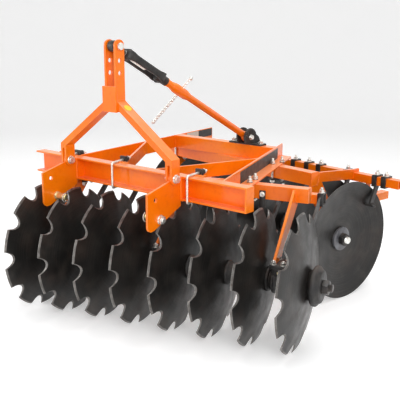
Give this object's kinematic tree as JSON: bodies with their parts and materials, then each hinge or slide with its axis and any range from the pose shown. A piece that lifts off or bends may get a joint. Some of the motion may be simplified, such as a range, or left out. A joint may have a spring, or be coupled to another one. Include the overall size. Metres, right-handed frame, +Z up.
{
  "type": "mounted disc harrow",
  "caption": "Three-point mounted offset disc harrow with two gangs of dished discs, an orange angle frame, a hitch mast and an adjustable stay.",
  "frame": {"origin": "middle of the machine's outline, on the ground under the discs", "axes": "+Z up, +Y to the rear, away from the tractor, +X to the right seen from the front"},
  "size_m": [1.586, 1.6848, 1.196],
  "materials": {
    "orange_paint": "satin",
    "disc_steel": "satin",
    "black_castings": "satin",
    "zinc_steel": "satin",
    "yellow_zinc": "satin"
  },
  "bodies": {
    "frame": {"front_beam": "orange_paint", "left_side_beam": "orange_paint", "right_side_beam": "orange_paint", "rear_crossbeam": "orange_paint", "left_brace": "orange_paint", "right_brace": "orange_paint", "beam_cleats": "orange_paint", "left_hitch_plate": "orange_paint", "right_hitch_plate": "orange_paint", "left_hitch_pin": "yellow_zinc", "right_hitch_pin": "yellow_zinc", "mast_foot_pins": "zinc_steel", "stay_bracket": "black_castings", "stay_bracket_pin": "zinc_steel", "front_gang_beam": "orange_paint", "rear_gang_beam": "orange_paint", "front_hangers": "orange_paint", "rear_hangers": "orange_paint", "front_bearings": "black_castings", "rear_bearings": "black_castings", "front_scraper_bar": "orange_paint", "rear_scraper_bar": "orange_paint", "front_scrapers": "black_castings", "rear_scrapers": "black_castings"},
    "mast": {"mast_left_plate": "orange_paint", "mast_right_plate": "orange_paint", "mast_front_plate": "orange_paint", "mast_left_arm": "orange_paint", "mast_right_arm": "orange_paint", "mast_top_pin": "zinc_steel"},
    "stay_lower": {"stay_tube": "orange_paint", "stay_turnbuckle": "black_castings", "tommy_bar": "zinc_steel"},
    "stay_upper": {"stay_screw": "zinc_steel"},
    "front_gang": {"front_discs": "disc_steel", "front_spools": "black_castings", "front_end_bells": "black_castings", "front_axle": "zinc_steel"},
    "rear_gang": {"rear_discs": "disc_steel", "rear_spools": "black_castings", "rear_end_bells": "black_castings", "rear_axle": "zinc_steel"}
  },
  "joints": [
    {"name": "front_gang_spin", "type": "hinge", "parent": "frame", "child": "front_gang", "pos_m": [-0.5058, -0.5769, 0.278], "axis": [0.9664, 0.2571, 0], "continuous": true},
    {"name": "rear_gang_spin", "type": "hinge", "parent": "frame", "child": "rear_gang", "pos_m": [0.5292, 0.3611, 0.278], "axis": [0.9848, -0.1736, 0], "continuous": true},
    {"name": "mast_tilt", "type": "hinge", "parent": "frame", "child": "mast", "pos_m": [-0.1018, -0.4979, 0.67], "axis": [1, 0, 0], "range_deg": [-2, 2]},
    {"name": "stay_swing", "type": "hinge", "parent": "frame", "child": "stay_lower", "pos_m": [-0.0358, 0.3281, 0.712], "axis": [0.9968, -0.0796, 0], "range_deg": [-0.8, 0.8]},
    {"name": "stay_reach", "type": "slide", "parent": "stay_lower", "child": "stay_upper", "axis": [0.0697, 0.8729, -0.4829], "range_m": [-0.02, 0.02]}
  ],
  "couplings": [
    {"joint": "stay_swing", "follows": "mast_tilt", "ratio": 0.25385},
    {"joint": "stay_reach", "follows": "mast_tilt", "m_per_rad": -0.43556}
  ]
}
